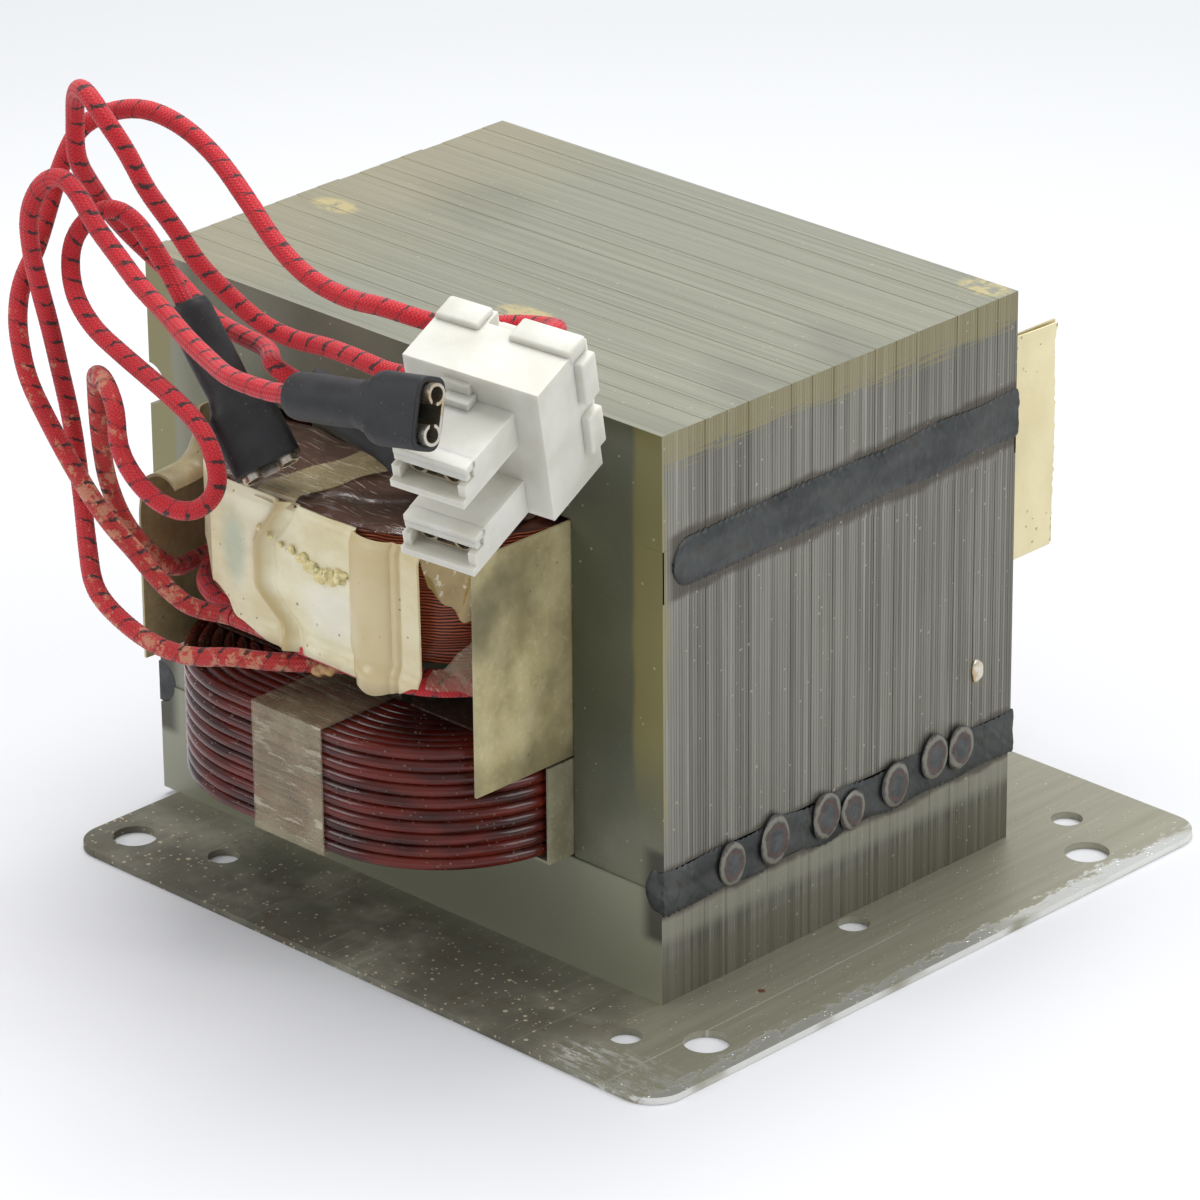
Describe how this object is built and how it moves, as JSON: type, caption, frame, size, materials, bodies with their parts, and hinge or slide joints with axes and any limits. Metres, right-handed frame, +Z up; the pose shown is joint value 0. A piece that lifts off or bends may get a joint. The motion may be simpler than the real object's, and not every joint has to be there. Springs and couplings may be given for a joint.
{
  "type": "laminated chassis transformer",
  "caption": "Welded laminated steel core with two windings, paper insulation, a flat foot plate with holes, and braided leads to a white connector and sleeved tab receptacles.",
  "frame": {"origin": "on the foot plate's underside, below the centre of the core", "axes": "+X across the laminations' width towards the plate's wide margin, -Y towards the side with the leads, +Z up out of the plate"},
  "size_m": [0.1144, 0.1335, 0.1162],
  "materials": {
    "plate_steel": "dull grey-olive cold-rolled steel, scraped bright along the right edge",
    "core_steel": "varnished silicon steel sheet, olive grey",
    "weld": "dark blue-grey weld metal with scorched edges",
    "red_enamel": "glossy dark red wire enamel",
    "copper_winding": "fine copper wire under amber varnish",
    "cream_paper": "cream insulating paper, varnished",
    "brown_card": "dark brown pressed card",
    "clear_film": "clear amber film",
    "clear_tape": "yellowed clear tape",
    "red_braid": "red braided glass sleeving with a dark tracer",
    "nylon": "milky white nylon",
    "black_sleeve": "matt black flexible sleeve",
    "tinned_brass": "tin plate with bare brass at the cut edges"
  },
  "bodies": {
    "root": {"base_plate": "plate_steel", "e_laminations": "core_steel", "i_laminations": "core_steel", "upper_weld_left": "weld", "upper_weld_right": "weld", "seam_weld_left": "weld", "seam_weld_right": "weld", "primary_winding": "red_enamel", "primary_tape_front": "clear_tape", "primary_tape_rear": "clear_tape", "primary_liner_left": "cream_paper", "primary_liner_right": "cream_paper", "primary_terminal_board": "brown_card", "primary_tab_left": "tinned_brass", "primary_tab_right": "tinned_brass", "shunt_left": "core_steel", "shunt_right": "core_steel", "shunt_card_left": "brown_card", "shunt_card_right": "brown_card", "filament_winding": "red_braid", "secondary_winding": "copper_winding", "secondary_wrap_front": "cream_paper", "secondary_wrap_rear": "cream_paper", "secondary_film_front": "clear_film", "secondary_film_rear": "clear_film", "slot_paper_left": "cream_paper", "slot_paper_right": "cream_paper", "connector_housing": "nylon", "connector_receptacle_upper": "tinned_brass", "connector_receptacle_lower": "tinned_brass", "receptacle_front": "tinned_brass", "receptacle_left": "tinned_brass", "receptacle_back": "tinned_brass", "sleeve_front": "black_sleeve", "sleeve_left": "black_sleeve", "sleeve_back": "black_sleeve", "lead_connector_upper": "red_braid", "lead_sleeve_front": "red_braid", "lead_sleeve_left": "red_braid", "lead_jumper": "red_braid"}
  },
  "joints": []
}
